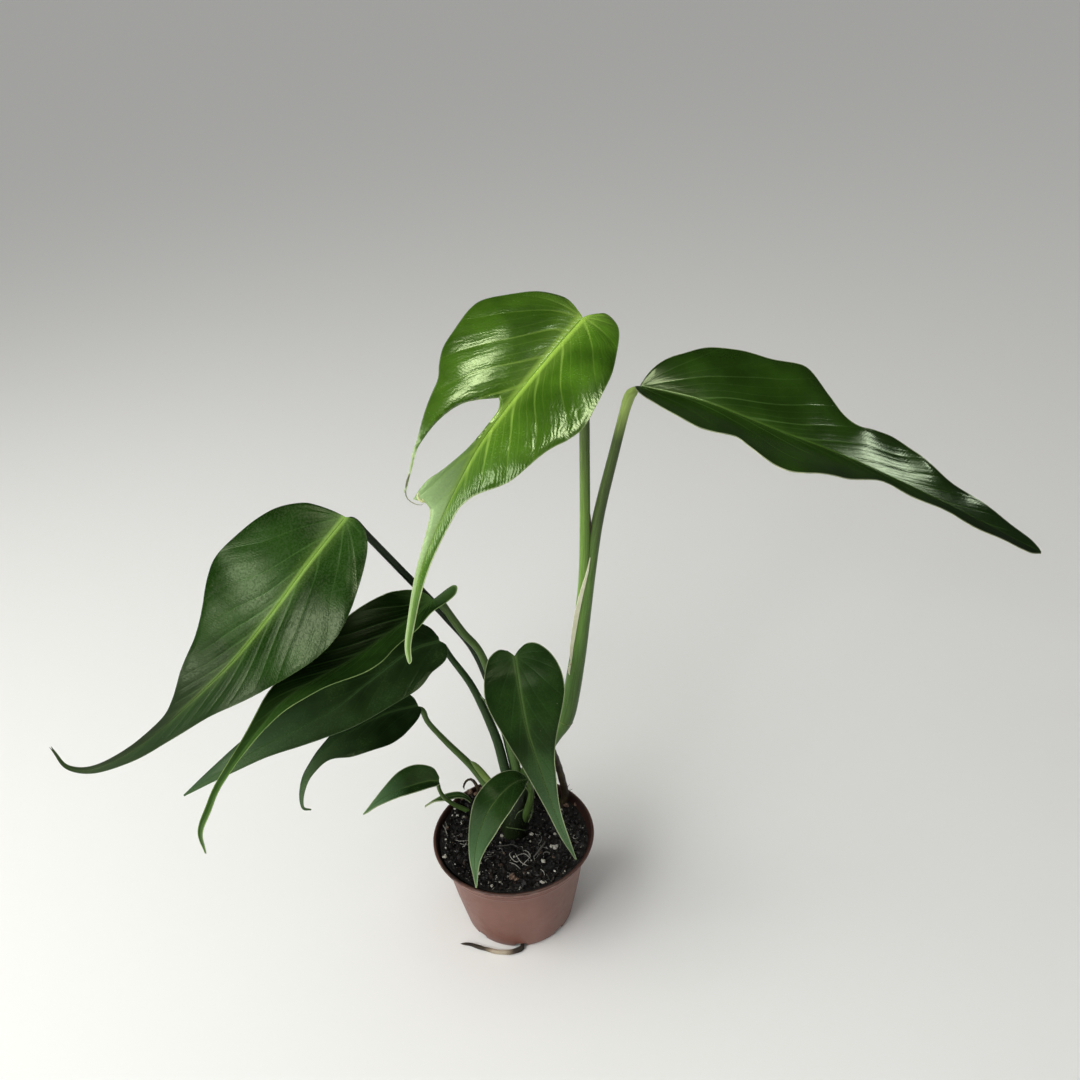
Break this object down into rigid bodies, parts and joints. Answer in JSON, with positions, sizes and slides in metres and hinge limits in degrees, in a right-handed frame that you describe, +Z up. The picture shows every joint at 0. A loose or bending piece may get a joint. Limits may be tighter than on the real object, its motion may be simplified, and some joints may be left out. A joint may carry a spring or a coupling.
{
  "type": "potted monstera",
  "caption": "Young potted monstera: drip-tipped leaves on long petioles rise from one stem in a small thin plastic nursery pot filled with soil.",
  "frame": {"origin": "centre of the pot's flat underside", "axes": "+Z up along the pot's axis, +X towards the tip of the long right leaf, -Y towards the viewer of the picture"},
  "size_m": [0.4599, 0.1168, 0.3586],
  "materials": {
    "leaf_young": "satin",
    "leaf_mid": "satin",
    "leaf_deep": "satin",
    "stem_green": "satin",
    "root_brown": "matte",
    "peat": "matte",
    "pot_plastic": "satin"
  },
  "bodies": {
    "root": {"leaf_1": "leaf_young", "leaf_2": "leaf_mid", "leaf_3": "leaf_deep", "leaf_4": "leaf_deep", "leaf_5": "leaf_deep", "leaf_6": "leaf_deep", "leaf_7": "leaf_mid", "leaf_8": "leaf_mid", "leaf_9": "leaf_deep", "leaf_tiny": "leaf_mid", "pot": "pot_plastic", "root_aerial": "root_brown", "root_drain": "root_brown", "root_loop": "root_brown", "soil": "peat", "stem": "stem_green", "stem_small": "stem_green"}
  },
  "joints": []
}
